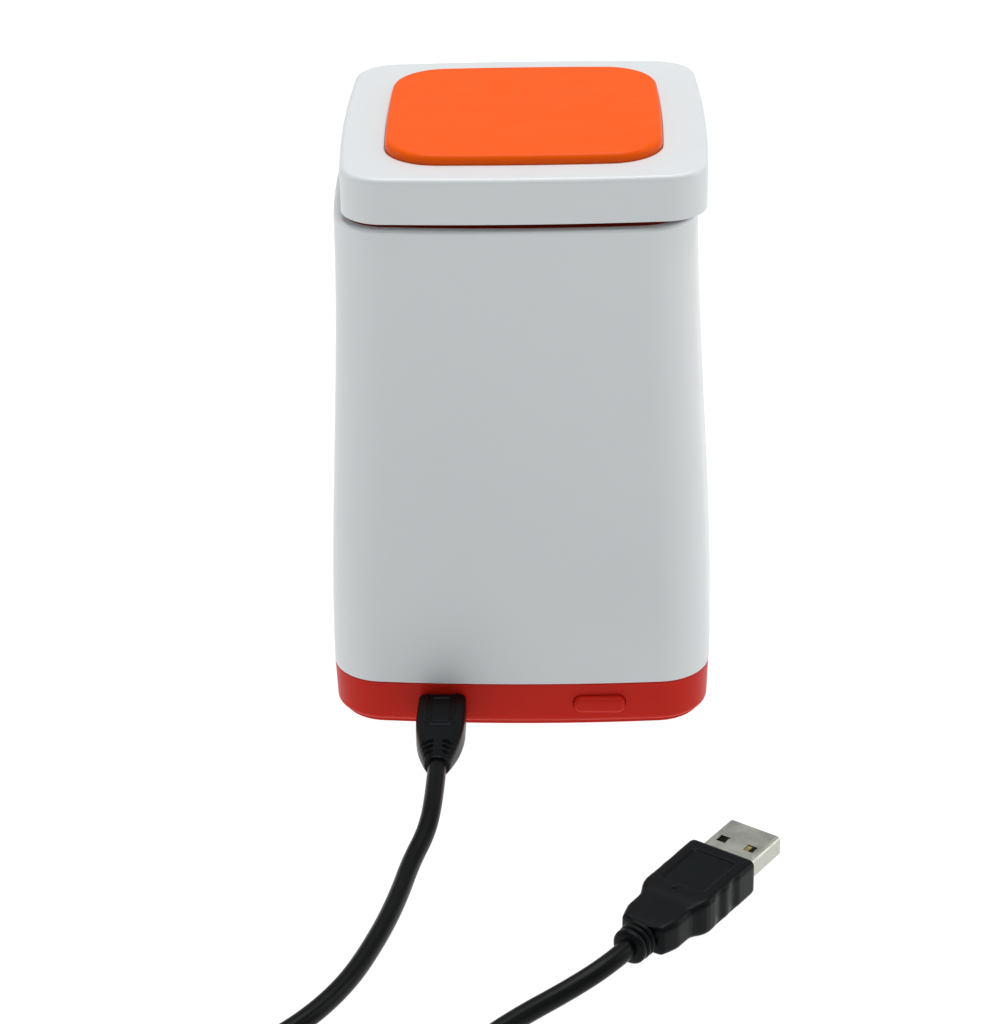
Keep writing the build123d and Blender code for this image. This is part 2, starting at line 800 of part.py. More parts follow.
def lid_seal():
    outer = lid_half - lid_wall - slip_gap
    inner = outer - seal_wall
    corner = lid_corner - lid_wall
    ring = slab(outer, corner, lid_bow, collar_top, lid_ceiling)
    ring -= slab(inner, corner, lid_bow, collar_top - 1, lid_ceiling + 1)
    return lid_frame * ring


def lid_screws():
    high = lid_ceiling - liner_height
    low = high - board_screw_head_height
    tip = lid_top + lid_screw_bite
    places = [(sx * lid_screw_place, sy * lid_screw_place) for sx, sy in corners]
    return [pad_frame * screw(x, y, lid_screw_radius, board_screw_head, low, high, tip) for x, y in places]


# ------------------------------------------------------------------ power lead
def hollow_sheath(width, height, length, sheet):
    """Folded sheet-metal sheath along +Y, open at its far end."""
    outer = rounded_bar(width, height, length, height * 0.2)
    inner = Pos(0, sheet, 0) * rounded_bar(width - 2 * sheet, height - 2 * sheet, length, sheet / 2)
    return outer - inner


def micro_b_shell():
    return Pos(port_x, grip_face, port_z) * hollow_sheath(
        micro_shell_width, micro_shell_height, micro_shell_depth, sheet_thick
    )


def micro_b_grip():
    straight = Pos(port_x, grip_face - grip_straight, port_z) * rounded_bar(
        grip_width, grip_height, grip_straight, grip_corner
    )
    start = grip_face - grip_straight
    length = start - grip_end
    sections = []
    for share in (0.0, 0.35, 0.7, 1.0):
        pull = math.sin(share * math.pi / 2) ** 2
        width = grip_width + (2 * grip_end_radius - grip_width) * pull
        height = grip_height + (2 * grip_end_radius - grip_height) * pull
        corner = grip_corner + (grip_end_radius * 0.95 - grip_corner) * pull
        place = Plane.XZ.offset(-(start - share * length))
        sections.append(place * Pos(port_x, port_z) * RectangleRounded(width, height, corner))
    return straight + loft(sections, ruled=True)


def along_plug(piece):
    """Carry a piece built along +Y from the cord's end onto the plug's place and heading."""
    return plug_frame * Rot(0, 0, -90) * piece


def usb_a_grip():
    ring_pitch = relief_length / relief_rings
    core = Pos(0, relief_length / 2, 0) * Rot(90, 0, 0) * Cylinder(relief_core_radius, relief_length)
    grip = core
    for i in range(relief_rings):
        ring = Pos(0, (i + 0.45) * ring_pitch, 0) * Rot(90, 0, 0) * Cylinder(relief_radius, ring_pitch * 0.62)
        grip += ring
    neck = rounded_bar(plug_neck_width, plug_neck_height, plug_neck_length + 1, plug_neck_corner)
    neck = Pos(0, relief_length, 0) * neck
    wide_start = relief_length + plug_neck_length
    wide = rounded_bar(plug_grip_width, plug_grip_height, plug_grip_length, plug_grip_corner)
    wide = Pos(0, wide_start, 0) * wide
    grip += neck
    grip += wide
    pocket = rounded_bar(usb_width, usb_height, usb_root + 1, usb_height * 0.2)
    return along_plug(grip - Pos(0, wide_start + plug_grip_length - usb_root, 0) * pocket)


def plug_front():
    return relief_length + plug_neck_length + plug_grip_length


def usb_a_shell():
    start = plug_front() - usb_root
    sheath = Pos(0, start, 0) * hollow_sheath(usb_width, usb_height, usb_length + usb_root, usb_sheet)
    reach = usb_window / 2
    for sx in (-1, 1):
        x = sx * usb_window_place
        y = plug_front() + usb_window_from_grip
        sheath -= block(x - reach, x + reach, y - reach, y + reach, -usb_height, usb_height)
    return along_plug(sheath)


def insert_span():
    low = -usb_height / 2 + usb_sheet
    return low, low + insert_height


def usb_a_insert():
    low, high = insert_span()
    half = usb_width / 2 - usb_sheet - slip_gap
    start = plug_front() - usb_root + usb_sheet
    tongue = block(-half, half, start, plug_front() + usb_length - insert_setback, low, high)
    back = block(-half, half, start, start + insert_root, low, usb_height / 2 - usb_sheet - slip_gap)
    return along_plug(tongue + back)


def usb_a_contacts():
    high = insert_span()[1]
    back = plug_front() + contact_setback
    front = plug_front() + usb_length - contact_setback
    reach = contact_width / 2
    strips = []
    for i in range(contact_count):
        x = (i - (contact_count - 1) / 2) * contact_pitch
        strips.append(along_plug(block(x - reach, x + reach, back, front, high, high + contact_height)))
    return strips


def corner_radii(points):
    """Largest arc at each corner of a route: 0.45 of its shorter run over the tangent of half the turn."""
    radii = []
    for before, here, after in zip(points, points[1:], points[2:]):
        first = Vector(*here) - Vector(*before)
        second = Vector(*after) - Vector(*here)
        turn = math.radians(first.get_angle(second))
        radii.append(0.45 * min(first.length, second.length) / math.tan(turn / 2))
    return radii


def cord_path(points):
    return FilletPolyline(*points, radius=corner_radii(points))


def cord_tube(points, radius=cord_radius):
    start = Vector(*points[0])
    section = Plane(origin=start, z_dir=Vector(*points[1]) - start) * Circle(radius)
    return sweep(section, path=cord_path(points))


def report_cord(points, name):
    """Print the arcs of a route and compare its tube's volume with section times length."""
    length = cord_path(points).length
    expected = math.pi * cord_radius**2 * length
    print(name, "radii", [round(r, 1) for r in corner_radii(points)])
    print(name, "length", round(length, 1), "volume ratio", round(cord_tube(points).volume / expected, 4))
    return length


def coil_section(extra):
    radial = coil_outer - coil_inner + 2 * extra
    high = coil_top - coil_base + 2 * extra
    middle = ((coil_outer + coil_inner) / 2, (coil_top + coil_base) / 2)
    return Plane.XZ * Pos(*middle) * RectangleRounded(radial, high, coil_edge + extra)


def coil_ring(extra):
    return Pos(coil_x, coil_y, 0) * revolve(coil_section(extra), axis=Axis.Z)


def cord_coil():
    """Outer shape of the wound part of the lead, notched where its two ends run in."""
    room = cord_radius + slip_gap
    return coil_ring(0.0) - cord_tube(lead_route, room) - cord_tube(tail_route, room)


def coil_tie():
    band = coil_ring(coil_base) - coil_ring(0.0)
    middle = (coil_outer + coil_inner) / 2
    cutter = Pos(middle, 0, coil_top / 2) * Box(coil_outer, tie_width, 3 * coil_top)
    return band & Pos(coil_x, coil_y, 0) * Rot(0, 0, tie_angle) * cutter


def coil_length():
    """Five and a half turns: down the radii on the lower layer and back up on the upper one."""
    turns = list(coil_turn_radii) + list(reversed(coil_turn_radii))
    return 2 * math.pi * (sum(turns) - turns[-1] / 2)


# ------------------------------------------------------------------ build
lead_length = report_cord(lead_route, "cord_lead")
tail_length = report_cord(tail_route, "cord_tail")
print("coil length", round(coil_length(), 1))
print("whole lead", round(lead_length + tail_length + coil_length(), 1))

pieces = {
    "base_tray": base_tray(),
    "rubber_feet": rubber_feet(),
    "case_screws": case_screws(),
    "body_shell": body_shell(),
    "deck_plate": deck_plate(),
    "fan_frame": fan_frame(),
    "fan_rotor": fan_rotor(),
    "fan_screws": fan_screws(),
    "filter_frame": filter_frame(),
    "filter_foam": filter_foam(),
    "filter_grille": filter_grille(),
    "main_board": main_board(),
    "board_screws": board_screws(),
    "board_chips": board_chips(),
    "wire_sockets": wire_sockets(),
    "usb_socket": usb_socket(),
    "usb_socket_tongue": usb_socket_tongue(),
    "tact_switch": tact_switch(),
    "switch_plunger": switch_plunger(),
    "button_cap": button_cap(),
    "battery_cell": battery_cell(),
    "battery_pad": battery_pad(),
    "battery_lead": battery_lead(),
    "fan_lead": fan_lead(),
    "bin_bucket": bin_bucket(),
    "lid_shell": lid_shell(),
    "lid_pad": lid_pad(),
    "lid_liner": lid_liner(),
    "lid_seal": lid_seal(),
    "lid_screws": lid_screws(),
    "micro_b_shell": micro_b_shell(),
    "micro_b_grip": micro_b_grip(),
    "cord_lead": cord_tube(lead_route),
    "cord_coil": cord_coil(),
    "cord_tail": cord_tube(tail_route),
    "coil_tie": coil_tie(),
    "usb_a_grip": usb_a_grip(),
    "usb_a_shell": usb_a_shell(),
    "usb_a_insert": usb_a_insert(),
    "usb_a_contacts": usb_a_contacts(),
}

os.makedirs("parts", exist_ok=True)
for node, piece in pieces.items():
    shapes = piece if isinstance(piece, list) else [piece]
    solids = [solid for shape in shapes for solid in shape.solids()]
    whole = Compound(children=solids) if len(solids) > 1 else solids[0]
    export_step(whole, os.path.join("parts", node + ".step"))
    print(node, len(solids), round(sum(s.volume for s in solids), 1))
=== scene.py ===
import bpy
import bmesh
import math
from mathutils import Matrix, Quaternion, Vector


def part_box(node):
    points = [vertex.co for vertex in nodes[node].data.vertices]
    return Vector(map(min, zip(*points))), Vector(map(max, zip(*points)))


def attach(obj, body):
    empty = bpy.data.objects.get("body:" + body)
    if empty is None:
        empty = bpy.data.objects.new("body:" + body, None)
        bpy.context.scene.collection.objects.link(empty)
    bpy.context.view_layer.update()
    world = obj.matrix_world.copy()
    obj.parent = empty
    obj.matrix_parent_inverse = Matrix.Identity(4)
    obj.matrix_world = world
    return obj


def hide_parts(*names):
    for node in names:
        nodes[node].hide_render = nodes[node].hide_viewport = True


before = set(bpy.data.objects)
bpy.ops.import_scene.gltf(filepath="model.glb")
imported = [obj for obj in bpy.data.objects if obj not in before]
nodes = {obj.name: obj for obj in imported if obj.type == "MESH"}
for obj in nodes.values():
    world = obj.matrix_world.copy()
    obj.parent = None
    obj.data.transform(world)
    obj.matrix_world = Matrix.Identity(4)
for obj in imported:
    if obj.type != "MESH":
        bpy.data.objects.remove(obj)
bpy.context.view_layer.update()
scene = bpy.context.scene

# ---------------------------------------------------------------------- table and light
# The bin stands on a pale, matt, softly glowing table top in a white room.  A large softbox hangs over
# it, a strip light stands on its right and a weaker one on its left, so the front is its darkest side.
scene.view_settings.view_transform = "Standard"
room = bpy.data.worlds.new("white_room")
scene.world = room
room.use_nodes = True
room.node_tree.nodes["Background"].inputs["Color"].default_value = (0.96, 0.98, 1.0, 1)
room.node_tree.nodes["Background"].inputs["Strength"].default_value = 0.35

table_reach = 4.0
table_mesh = bpy.data.meshes.new("table_top")
table_corners = [(-1, -1), (1, -1), (1, 1), (-1, 1)]
table_mesh.from_pydata([(x * table_reach, y * table_reach, 0) for x, y in table_corners], [], [(0, 1, 2, 3)])
table_top = bpy.data.objects.new("table_top", table_mesh)
scene.collection.objects.link(table_top)


def shader_of(material):
    """The node that holds a material's finish."""
    return material.node_tree.nodes["Principled BSDF"]


table_paint = bpy.data.materials.new("table_paint")
table_paint.use_nodes = True
table_shader = shader_of(table_paint)
table_shader.inputs["Base Color"].default_value = (0.12, 0.12, 0.12, 1)
table_shader.inputs["Roughness"].default_value = 0.9
table_shader.inputs["Specular IOR Level"].default_value = 0.1
table_shader.inputs["Emission Color"].default_value = (1, 1, 1, 1)
table_shader.inputs["Emission Strength"].default_value = 0.98
table_mesh.materials.append(table_paint)

bin_middle = Vector((0, 0, 0.065))
softboxes = [                    # name, place, width, height, watts
    ("overhead_softbox", (0.05, 0.16, 1.1), 0.9, 0.9, 9.9),
    ("right_strip", (0.9, 0.1, 0.35), 0.3, 0.7, 1.5),
    ("left_strip", (-0.9, 0.1, 0.35), 0.3, 0.7, 0.9),
]
for name, place, width, height, watts in softboxes:
    light = bpy.data.lights.new(name, "AREA")
    light.shape = "RECTANGLE"
    light.size = width
    light.size_y = height
    light.energy = watts
    lamp = bpy.data.objects.new(name, light)
    scene.collection.objects.link(lamp)
    lamp.location = place
    lamp.rotation_mode = "QUATERNION"
    lamp.rotation_quaternion = (bin_middle - Vector(place)).to_track_quat("-Z", "Y")

# ---------------------------------------------------------------------- camera
# A long lens stands in front of the bin, a hand's length above its lid, looking down on it and leaning
# by about a degree.
view_point = Vector((0.0179, -0.5792, 0.3255))
view_aim = Vector((-0.0052, 0.0, 0.0320))
view_lean = math.radians(-1.15)
lens = bpy.data.cameras.new("product_camera")
lens.lens = 100.07
lens.sensor_width = 36
lens.clip_start = 0.02
camera = bpy.data.objects.new("product_camera", lens)
scene.collection.objects.link(camera)
camera.location = view_point
camera.rotation_mode = "QUATERNION"
view_turn = (view_aim - view_point).to_track_quat("-Z", "Y")
camera.rotation_quaternion = view_turn @ Quaternion((0, 0, 1), view_lean)
scene.camera = camera

# ---------------------------------------------------------------------- power cord
# A round 4 mm lead of copper cores in a smooth black PVC jacket.  It leaves its small plug, drops to the
# table and runs out to a tied coil of the length that isn't in use, and comes back to the big plug.
mm = 0.001                       # the sizes and places of pieces are in millimetres from here on
cord_thick = 4.0
lead_route = [                   # from inside the small plug's grip to the coil
    (-17.0, -67.3, 5.8), (-17.0, -78.5, 5.8), (-17.9, -89.0, 4.1), (-20.9, -98.5, 2.4),
    (-22.6, -109.5, 2.0), (-25.4, -122.5, 2.0), (-30.6, -139.0, 2.0), (-38.6, -152.0, 2.0),
    (-47.6, -160.4, 2.0), (-55.4, -168.2, 2.1), (-61.2, -176.2, 2.4), (-64.0, -184.5, 2.6),
]
tail_route = [                   # from the coil to the big plug
    (-10.0, -183.5, 6.2), (-9.6, -174.5, 4.2), (-8.6, -165.8, 2.3), (-4.6, -156.6, 2.0),
    (2.4, -148.9, 2.0), (11.7, -140.9, 2.4), (19.2, -135.0, 4.0), (22.6, -130.0, 4.0),
]
coil_centre = (-37.0, -196.0)
coil_radii = (27.0, 23.0, 19.0)  # of the winding's outer, middle and inner place
coil_low = 2.6                   # heights of the cord's middle in the lower and in the upper layer
coil_high = 6.6
coil_turns = 5.5
coil_start = 180.0               # degrees, which is the coil's left side
steps_per_turn = 16
shift_span = 60.0                # degrees over which the winding moves on to its next place
shifts_in = (300.0, 660.0)       # degrees wound when it starts to move inwards, up and outwards
climb_start = 960.0
shifts_out = (1260.0, 1620.0)


def ease(share):
    """Go from 0 to 1 with a gentle start and end, and stay there outside that stretch."""
    share = min(max(share, 0.0), 1.0)
    return share * share * (3 - 2 * share)


def wound(turned):
    """Radius and height of the winding: inwards on the table, up, and outwards on the second layer."""
    outer, middle, inner = coil_radii
    changes = (middle - outer, inner - middle, middle - inner, outer - middle)
    radius = outer
    for start, change in zip(shifts_in + shifts_out, changes):
        radius += change * ease((turned - start) / shift_span)
    return radius, coil_low + (coil_high - coil_low) * ease((turned - climb_start) / shift_span)


coil_route = []
outset = 1 / math.cos(math.pi / steps_per_turn)        # the smooth line runs a little inside its points
for step in range(int(coil_turns * steps_per_turn) + 1):
    turned = step * 360 / steps_per_turn
    radius, height = wound(turned)
    angle = math.radians(coil_start + turned)
    coil_route.append((
        coil_centre[0] + radius * outset * math.cos(angle),
        coil_centre[1] + radius * outset * math.sin(angle),
        height,
    ))
cord_route = lead_route + coil_route + tail_route

cord_curve = bpy.data.curves.new("power_cord", "CURVE")
cord_curve.dimensions = "3D"
cord_line = cord_curve.splines.new("NURBS")
cord_line.points.add(len(cord_route) - 1)
for point, (x, y, z) in zip(cord_line.points, cord_route):
    point.co = (x * mm, y * mm, z * mm, 1)
cord_line.order_u = 3
cord_line.use_endpoint_u = True
cord_line.resolution_u = 8
cord_curve.bevel_depth = cord_thick / 2 * mm
cord_curve.bevel_resolution = 6
cord_curve.use_fill_caps = True
power_cord = bpy.data.objects.new("power_cord", cord_curve)
scene.collection.objects.link(power_cord)


def new_material(name, colour, roughness, metallic=0.0, level=0.5):
    """A material with the whole-surface values of its finish set on its shader."""
    material = bpy.data.materials.new(name)
    material.use_nodes = True
    shader = shader_of(material)
    shader.inputs["Base Color"].default_value = (*colour, 1)
    shader.inputs["Roughness"].default_value = roughness
    shader.inputs["Metallic"].default_value = metallic
    shader.inputs["Specular IOR Level"].default_value = level
    return material


def wire(material, source, outlet, target, inlet):
    """Join one node's outlet to another node's inlet."""
    material.node_tree.links.new(source.outputs[outlet], target.inputs[inlet])


def lay_out(material, texture):
    """Lay a texture out over the piece's own space."""
    space = material.node_tree.nodes.new("ShaderNodeTexCoord")
    wire(material, space, "Object", texture, "Vector")


def cloud(material, feature, detail=3.0, stretch=(1, 1, 1)):
    """Noise over the piece's own space, with features about that many metres across."""
    tree = material.node_tree.nodes
    scaled = tree.new("ShaderNodeMapping")
    scaled.inputs["Scale"].default_value = stretch
    noise = tree.new("ShaderNodeTexNoise")
    noise.inputs["Scale"].default_value = 1 / feature
    noise.inputs["Detail"].default_value = detail
    lay_out(material, scaled)
    wire(material, scaled, "Vector", noise, "Vector")
    return noise


noise_low = 0.3                  # most of a noise's values lie between these two
noise_high = 0.7


def tone(material, source, dark, light, low=noise_low, high=noise_high, outlet="Fac"):
    """Colour the surface between two tones by a texture."""
    ramp = material.node_tree.nodes.new("ShaderNodeValToRGB")
    ramp.color_ramp.elements[0].position = low
    ramp.color_ramp.elements[1].position = high
    ramp.color_ramp.elements[0].color = (*dark, 1)
    ramp.color_ramp.elements[1].color = (*light, 1)
    wire(material, source, outlet, ramp, "Fac")
    wire(material, ramp, "Color", shader_of(material), "Base Color")


def grain(material, source, depth, outlet="Fac"):
    """Let a texture raise the surface by up to a depth in metres."""
    bump = material.node_tree.nodes.new("ShaderNodeBump")
    bump.inputs["Distance"].default_value = depth
    wire(material, source, outlet, bump, "Height")
    wire(material, bump, "Normal", shader_of(material), "Normal")


def gloss(material, noise, low, high):
    """Let the roughness wander between two values."""
    scaled = material.node_tree.nodes.new("ShaderNodeMapRange")
    scaled.inputs["From Min"].default_value = noise_low
    scaled.inputs["From Max"].default_value = noise_high
    scaled.inputs["To Min"].default_value = low
    scaled.inputs["To Max"].default_value = high
    wire(material, noise, "Fac", scaled, "Value")
    wire(material, scaled, "Result", shader_of(material), "Roughness")


tone_patch = 0.02                # metres across a patch of tone, and of gloss
gloss_patch = 0.007
gloss_swing = 0.04
texture_detail = 2.0


def moulded(name, colour, roughness, drift=0.03, texture=0.0004, depth=0.000006, level=0.5):
    """Moulded plastic: a slight drift of tone, the tool's fine texture and an uneven satin gloss."""
    material = new_material(name, colour, roughness, level=level)
    dark = [c * (1 - drift) for c in colour]
    light = [min(c * (1 + drift), 1.0) for c in colour]
    tone(material, cloud(material, tone_patch), dark, light)
    grain(material, cloud(material, texture, texture_detail), depth)
    gloss(material, cloud(material, gloss_patch), roughness - gloss_swing, roughness + gloss_swing)
    return material


cord_pvc = moulded(
    "black_jacket_pvc", (0.0035, 0.0042, 0.0042), 0.33,
    drift=0.2, texture=0.003, depth=0.000002, level=0.1,
)
cord_curve.materials.append(cord_pvc)
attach(power_cord, "housing")
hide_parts("cord_lead", "cord_coil", "cord_tail")

# ---------------------------------------------------------------------- small plug
# A micro-B plug whose black PVC grip is moulded over the cord's end.  The grip is a flat block that
# tapers to the cord, with a double raised frame on each flat side and three pairs of flex slots.
port_x = -17.0
port_z = 5.8
small_grip_face = -42.3          # where the metal sheath comes out of the grip
small_grip_sections = [          # distance from the face, half width, half height, corner
    (0.0, 4.75, 2.85, 0.9), (0.25, 5.02, 3.12, 1.1), (0.8, 5.18, 3.28, 1.2), (6.0, 5.26, 3.32, 1.2),
    (10.0, 5.30, 3.3, 1.3), (13.0, 5.16, 3.28, 1.5), (16.0, 4.84, 3.2, 1.8), (18.5, 4.42, 3.12, 2.0),
    (20.5, 3.98, 3.02, 2.2), (22.5, 3.46, 2.9, 2.4), (24.0, 3.04, 2.76, 2.5), (24.9, 2.76, 2.6, 2.5),
    (25.2, 2.5, 2.42, 2.3),
]
skin_step = 0.2                  # between two rings of a grip's skin
corner_limit = 0.96              # share of a half size that a corner may take
facing_from = 0.5                # how squarely the skin faces up or down where a flat side starts
facing_span = 0.4
frame_height = 0.3
frame_width = 0.24
frames = ((5.3, 3.1, 7.8, 1.5), (6.9, 2.2, 4.7, 0.9))     # middle, half width, half length, corner
slot_start = 19.3
slot_pitch = 1.8
slot_count = 3
slot_depth = 1.0
slot_half = 0.5
slot_inner = 0.85                # a slot runs from here to there on both sides of the middle
slot_outer = 3.9
slot_inner_fade = 0.4
slot_outer_fade = 0.5
slot_shrink = 0.45               # each slot is that much shorter than the one before
slot_sag = 1.8                   # its outer end lies that much nearer the cord


def section_ring(half_wide, half_high, corner, wide_steps, high_steps, arc_steps=8):
    """Points round a rounded rectangle, each with the way out from the surface there."""
    corner = min(corner, corner_limit * half_wide, corner_limit * half_high)
    flat_x, flat_z = half_wide - corner, half_high - corner
    centres = [(flat_x, flat_z), (-flat_x, flat_z), (-flat_x, -flat_z), (flat_x, -flat_z)]
    points = []
    for quarter, (centre_x, centre_z) in enumerate(centres):
        for step in range(arc_steps + 1):
            angle = math.pi / 2 * (quarter + step / arc_steps)
            out_x, out_z = math.cos(angle), math.sin(angle)
            points.append((centre_x + corner * out_x, centre_z + corner * out_z, out_x, out_z))
        next_x, next_z = centres[(quarter + 1) % 4]
        flat_steps = wide_steps if quarter % 2 == 0 else high_steps
        for step in range(1, flat_steps):
            share = step / flat_steps
            points.append((
                centre_x + (next_x - centre_x) * share + corner * out_x,
                centre_z + (next_z - centre_z) * share + corner * out_z, out_x, out_z,
            ))
    return points


def section_at(sections, along):
    """Sizes of the section at a distance, in proportion between the two given ones beside it."""
    for before, after in zip(sections, sections[1:]):
        if along <= after[0]:
            share = (along - before[0]) / (after[0] - before[0])
            return [b + (a - b) * share for b, a in zip(before[1:], after[1:])]
    return sections[-1][1:]


crisp_edge = math.radians(50)


def make_piece(name, skin, material, body="housing"):
    """Finish a mesh: outward faces, smooth shading with crisp edges, its material and body."""
    bmesh.ops.recalc_face_normals(skin, faces=skin.faces)
    mesh = bpy.data.meshes.new(name)
    skin.to_mesh(mesh)
    skin.free()
    mesh.shade_smooth()
    mesh.set_sharp_from_angle(angle=crisp_edge)
    mesh.materials.append(material)
    piece = bpy.data.objects.new(name, mesh)
    scene.collection.objects.link(piece)
    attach(piece, body)
    return piece


def skinned(skin, rings):
    """Add a row of equal rings of places to a skin, as one closed solid with flat ends."""
    rows = [[skin.verts.new(place) for place in ring] for ring in rings]
    count = len(rows[0])
    for row, after in zip(rows, rows[1:]):
        for i in range(count):
            skin.faces.new((row[i], row[(i + 1) % count], after[(i + 1) % count], after[i]))
    skin.faces.new(rows[0])
    skin.faces.new(list(reversed(rows[-1])))
    return skin


def grip_skin(sections, carve, place, wide_steps, high_steps):
    """Skin a grip: its sections in small steps, each point moved in or out by carve, then put in place."""
    length = sections[-1][0]
    count = round(length / skin_step)
    rings = []
    for step in range(count + 1):
        along = length * step / count
        ring = []
        for across, up, out_x, out_z in section_ring(*section_at(sections, along), wide_steps, high_steps):
            move = carve(across, along, out_x, out_z)
            ring.append(place(across + move * out_x, along, up + move * out_z))
        rings.append(ring)
    return skinned(bmesh.new(), rings)


def outline_distance(across, along, middle, half_wide, half_long, corner):
    """Distance outside a rounded rectangle on a flat side, negative inside it."""
    beyond_x = abs(across) - half_wide + corner
    beyond_y = abs(along - middle) - half_long + corner
    return math.hypot(max(beyond_x, 0), max(beyond_y, 0)) + min(max(beyond_x, beyond_y), 0) - corner


def carve_small_grip(across, along, out_x, out_z):
    """Raise the frames and sink the flex slots on the two flat sides."""
    facing = ease((abs(out_z) - facing_from) / facing_span)
    if facing == 0:
        return 0.0
    move = 0.0
    for middle, half_wide, half_long, corner in frames:
        away = outline_distance(across, along, middle, half_wide, half_long, corner)
        move += frame_height * math.exp(-(away / frame_width) ** 2)
    reach = abs(across)
    for i in range(slot_count):
        line = slot_start + slot_pitch * i + slot_sag * (reach / slot_outer) ** 2
        ends = ease((reach - slot_inner) / slot_inner_fade)
        ends *= ease((slot_outer - slot_shrink * i - reach) / slot_outer_fade)
        move -= slot_depth * ends * math.exp(-((along - line) / slot_half) ** 4)
    return move * facing


def place_small_grip(across, along, up):
    """Put a point of the small grip, given from the middle of its face, where the port is."""
    return ((port_x + across) * mm, (small_grip_face - along) * mm, (port_z + up) * mm)


grip_pvc = moulded(
    "black_grip_pvc", (0.0032, 0.0046, 0.0052), 0.34,
    drift=0.15, texture=0.0012, depth=0.000006, level=0.09,
)
small_grip_skin = grip_skin(
    small_grip_sections, carve_small_grip, place_small_grip, wide_steps=44, high_steps=10,
)
small_grip = make_piece("small_plug_grip", small_grip_skin, grip_pvc)
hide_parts("micro_b_grip")

# The plug's sheath is folded from nickel-plated steel sheet, which shows fine rolling lines.
sheet_nickel = new_material("nickel_plated_sheet", (0.50, 0.51, 0.45), 0.34, metallic=1.0)
rolling = cloud(sheet_nickel, 0.0012, detail=4.0, stretch=(1, 6, 6))
tone(sheet_nickel, rolling, (0.45, 0.455, 0.40), (0.56, 0.565, 0.50))
gloss(sheet_nickel, cloud(sheet_nickel, 0.004), 0.28, 0.42)
grain(sheet_nickel, rolling, 0.000004)


modelled_edge = math.radians(32)


def dress(name, material):
    """Give a modelled part its finish: its material, curved faces smooth and edges crisp."""
    part = nodes[name]
    part.data.materials.clear()
    part.data.materials.append(material)
    part.data.shade_smooth()
    edges = part.modifiers.new("crisp_edges", "EDGE_SPLIT")
    edges.split_angle = modelled_edge


dress("micro_b_shell", sheet_nickel)

# ---------------------------------------------------------------------- big plug
# A type A plug.  Its black PVC grip is moulded in one with three flex rings round the cord, a neck and a
# wide block with a sunk panel above and below, a small gate mark and two thumb scallops on each side.
plug_start = Vector(tail_route[-1])
plug_heading = math.radians(55.8)         # from the bin's right towards its back
big_grip_sections = [            # distance from the cord's end, half width, half height, corner
    (0.0, 2.45, 2.45, 2.3), (5.0, 2.9, 2.9, 2.7), (5.25, 4.5, 2.95, 1.2), (5.6, 4.9, 3.2, 1.3),
    (7.0, 5.4, 3.35, 1.4), (8.6, 5.85, 3.42, 1.4), (9.4, 5.95, 3.45, 1.4), (12.6, 6.0, 3.45, 1.4),
    (13.6, 6.12, 3.5, 1.4), (14.6, 6.5, 3.62, 1.4), (15.6, 7.0, 3.8, 1.4), (16.6, 7.4, 3.93, 1.4),
    (17.8, 7.58, 4.0, 1.3), (33.5, 7.6, 4.0, 1.3), (34.1, 7.5, 3.9, 1.25), (34.4, 7.3, 3.7, 1.1),
    (34.5, 7.1, 3.5, 0.9),
]
sleeve_radius = 2.7              # of the sleeve that the flex rings stand on
flex_rings = ((0.95, 0.85, 3.75), (2.55, 0.62, 3.7), (3.95, 0.6, 3.6))     # middle, half length, radius
flat_facing = 0.9                # how squarely the skin faces up or down on the wide block's flat sides
panel = (25.3, 4.85, 6.05, 0.9)  # middle, half width, half length, corner
panel_depth = 0.4
panel_slope = 0.4                # width of the slope round the panel
slope_outside = 0.3              # share of the slope that lies outside the outline
gate_mark = (17.4, -0.5, 0.55, 0.5)                       # along, across, radius, depth
gate_reach = 1.3                 # the mark fades out at that many radii
scallops = ((21.6, 2.3), (26.6, 2.3))                     # middle, half length
scallop_depth = 0.45
side_from = 0.6                  # how squarely the skin faces sideways where a thumb side starts
side_span = 0.3


def carve_big_grip(across, along, out_x, out_z):
    """Raise the flex rings, and sink the panels, the gate mark and the scallops."""
    move = 0.0
    for middle, half_long, radius in flex_rings:
        share = (along - middle) / half_long
        if abs(share) < 1:
            move = max(move, (radius - sleeve_radius) * (1 - share ** 4) ** 0.5)
    if abs(out_z) > flat_facing:
        away = outline_distance(across, along, *panel)
        move -= panel_depth * ease(-away / panel_slope + slope_outside)
        spot_along, spot_across, spot_radius, spot_depth = gate_mark
        spot = math.hypot(along - spot_along, across - spot_across) / spot_radius
        move -= spot_depth * ease(gate_reach - spot)
    for middle, half_long in scallops:
        share = (along - middle) / half_long
        if abs(share) < 1:
            facing = ease((abs(out_x) - side_from) / side_span)
            move -= scallop_depth * facing * (0.5 + 0.5 * math.cos(math.pi * share))
    return move


def place_big_plug(across, along, up):
    """Put a point of the big grip, given from the cord's end, where the plug lies."""
    forward, sideways = along * mm, across * mm
    return (
        plug_start.x * mm + forward * math.cos(plug_heading) + sideways * math.sin(plug_heading),
        plug_start.y * mm + forward * math.sin(plug_heading) - sideways * math.cos(plug_heading),
        (plug_start.z + up) * mm,
    )


big_grip_skin = grip_skin(
    big_grip_sections, carve_big_grip, place_big_plug, wide_steps=52, high_steps=14,
)
big_grip = make_piece("big_plug_grip", big_grip_skin, grip_pvc)
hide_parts("usb_a_grip")
dress("usb_a_shell", sheet_nickel)

